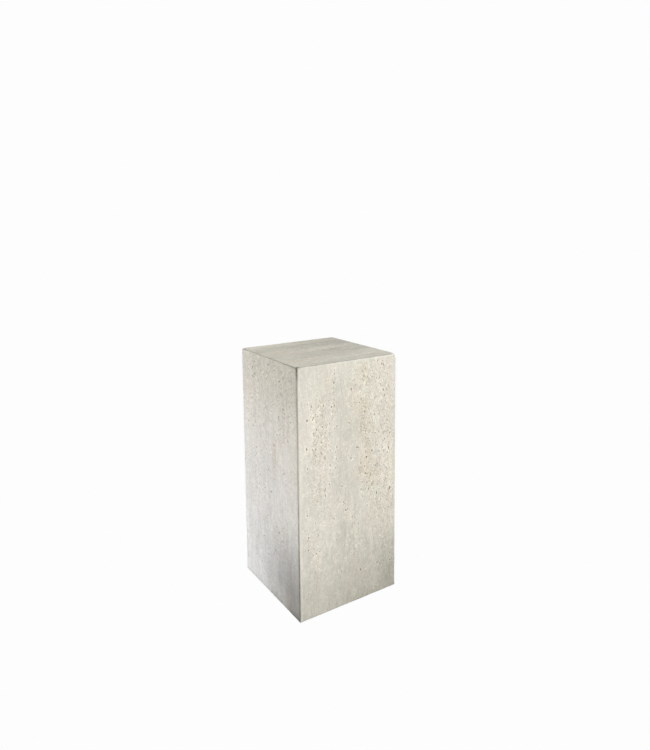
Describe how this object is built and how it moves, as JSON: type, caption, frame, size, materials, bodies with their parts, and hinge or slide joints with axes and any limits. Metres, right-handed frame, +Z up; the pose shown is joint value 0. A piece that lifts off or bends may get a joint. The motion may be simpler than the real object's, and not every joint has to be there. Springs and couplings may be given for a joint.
{
  "type": "travertine pillar",
  "caption": "Square upright travertine pillar with eased arrises and open vertical-vein pores, standing on its flat underside, with a flat top to display a thing on.",
  "frame": {"origin": "centre of the square underside, on the surface the pillar stands on", "axes": "+Z up along the pillar's length; -Y out of the porous cream face, -X out of the smoother greyer face; the two meet at the front arris"},
  "size_m": [0.35, 0.35, 0.75],
  "materials": {
    "travertine": "honed, unfilled vertical-vein travertine: matt pale grey cream, with small open pores drawn out along the vein, faint warm and grey streaks, and a fine dark line of grime along the arrises"
  },
  "bodies": {
    "root": {"pillar": "travertine"}
  },
  "joints": []
}
